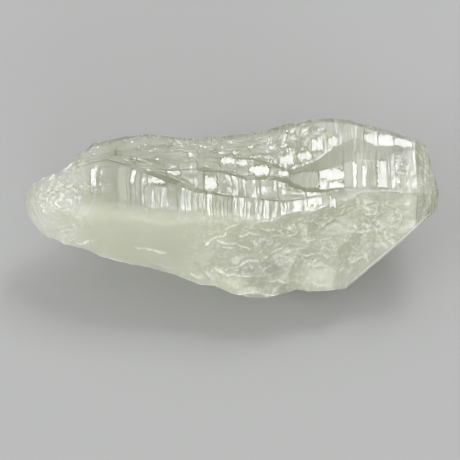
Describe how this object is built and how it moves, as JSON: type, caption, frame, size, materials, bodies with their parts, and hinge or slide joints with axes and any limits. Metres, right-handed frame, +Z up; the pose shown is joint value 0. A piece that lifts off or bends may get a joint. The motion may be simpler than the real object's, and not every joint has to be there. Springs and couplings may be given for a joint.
{
  "type": "rough quartz crystal",
  "caption": "Rough clear quartz point lying on a prism face, with stepped growth terraces, fracture bowls, a six-sided termination and a worn broken end.",
  "frame": {"origin": "centre of the bounding box's underside, on the surface the crystal lies on", "axes": "+X along the crystal's c axis towards its termination, +Z up, -Y towards the side the lower front edge is on"},
  "size_m": [0.15, 0.064, 0.0497],
  "materials": {
    "quartz": "cloudy clear quartz, glossy faces, frosted at the worn end"
  },
  "bodies": {
    "root": {"quartz_crystal": "quartz"}
  },
  "joints": []
}
